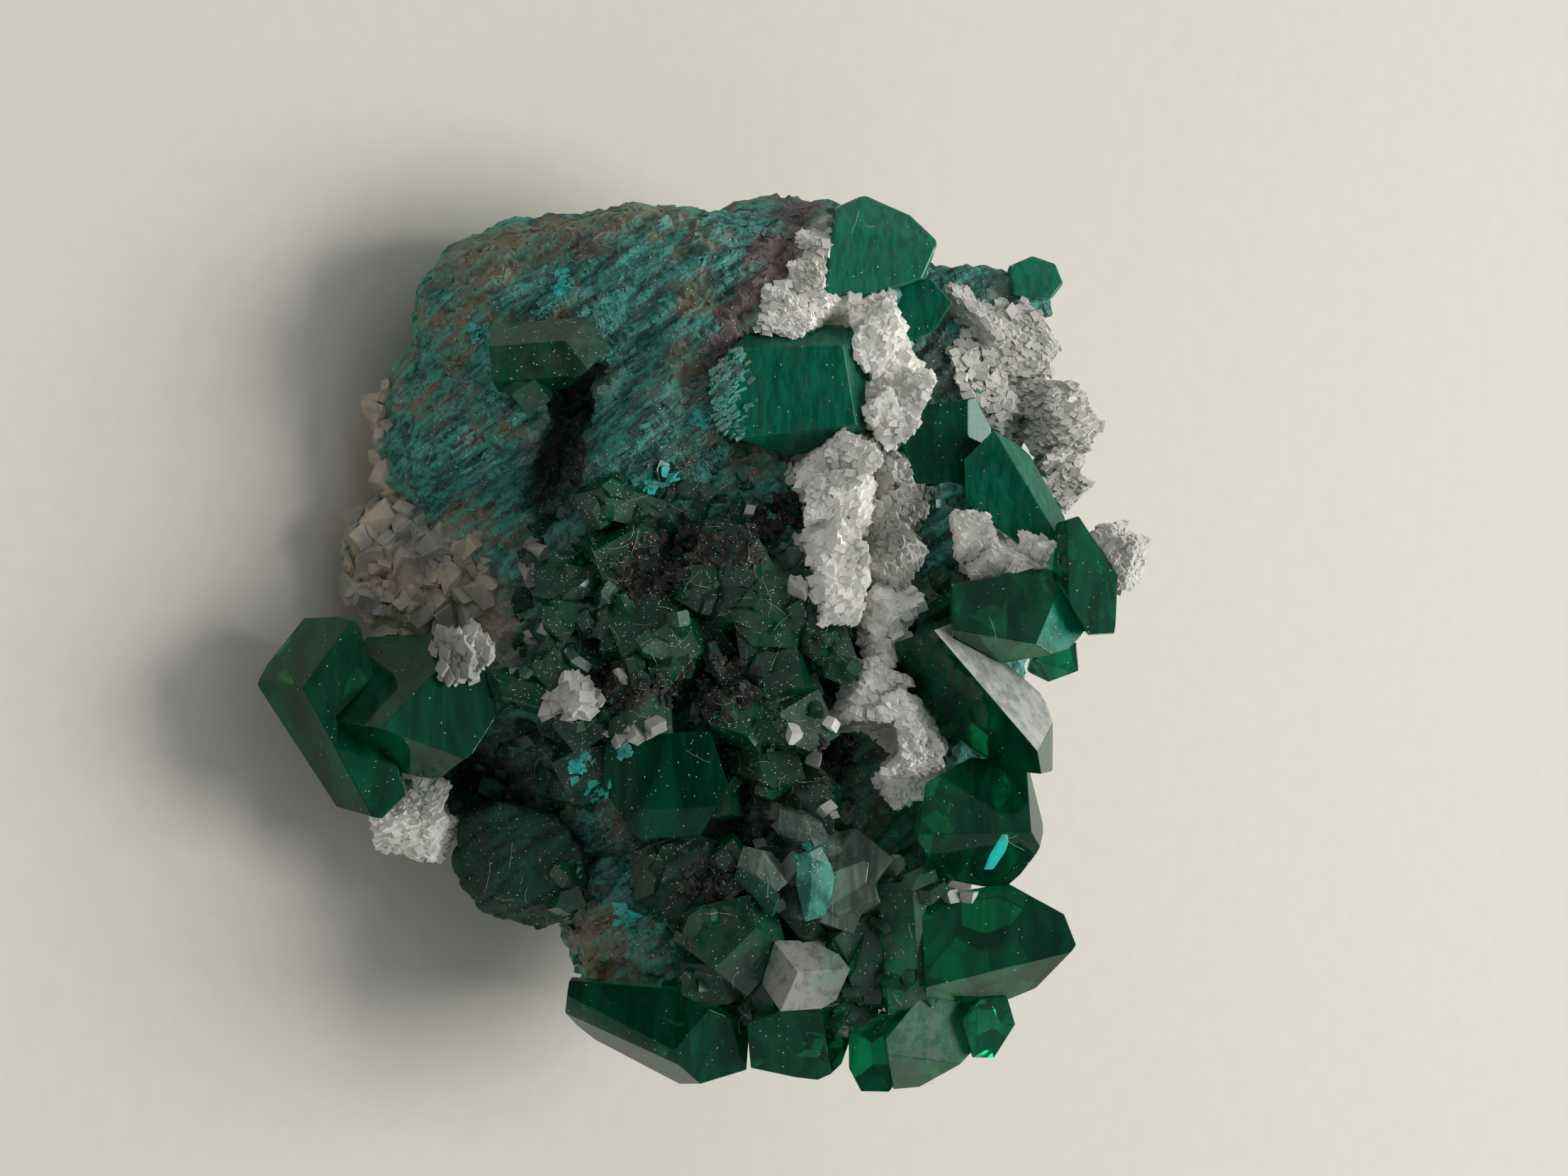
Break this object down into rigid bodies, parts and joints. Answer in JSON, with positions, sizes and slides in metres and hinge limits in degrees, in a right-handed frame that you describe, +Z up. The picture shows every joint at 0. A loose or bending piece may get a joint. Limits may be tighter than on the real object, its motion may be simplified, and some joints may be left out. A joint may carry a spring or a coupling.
{
  "type": "dioptase mineral specimen",
  "caption": "Natural mineral specimen: emerald-green dioptase crystals and white calcite on a teal-crusted rock with a flat base to stand on.",
  "frame": {"origin": "middle of the specimen's outline on the plane it rests on", "axes": "+Z up, -Y towards the side that shows the crystals, +X to the right when facing that side"},
  "size_m": [0.0412, 0.0366, 0.0225],
  "materials": {
    "dioptase": "clear emerald crystal",
    "calcite": "white sugary crystal",
    "rock": "rough, teal to brown crust"
  },
  "bodies": {
    "root": {"calcite_back_mass": "calcite", "calcite_behind_peak": "calcite", "calcite_bright_strip": "calcite", "calcite_centre": "calcite", "calcite_grey_clumps": "calcite", "calcite_lower_right": "calcite", "calcite_on_twin": "calcite", "calcite_single": "calcite", "calcite_small": "calcite", "calcite_star": "calcite", "calcite_upper_back": "calcite", "calcite_upper_left": "calcite", "calcite_upright": "calcite", "calcite_vein": "calcite", "centre_crystals": "dioptase", "column_tip_crystal": "dioptase", "cyan_flash_crystal": "dioptase", "green_dome": "dioptase", "hollow_crystals": "dioptase", "left_embedded_crystal": "dioptase", "left_green_block": "dioptase", "left_small_block": "dioptase", "long_prism": "dioptase", "lower_right_prism": "dioptase", "lower_twin": "dioptase", "lowest_long_crystal": "dioptase", "pale_cluster": "dioptase", "peak_crystal": "dioptase", "right_crystals": "dioptase", "right_edge_crystal": "dioptase", "right_green_crystal": "dioptase", "right_grey_crystal": "dioptase", "right_summit_crystal": "dioptase", "right_top_small_crystal": "dioptase", "smooth_dark_crystal": "dioptase", "summit_crystal": "dioptase", "summit_side_crystal": "dioptase", "teal_crusted_rock": "rock", "upper_left_dark_crystal": "dioptase", "upper_left_prism": "dioptase"}
  },
  "joints": []
}
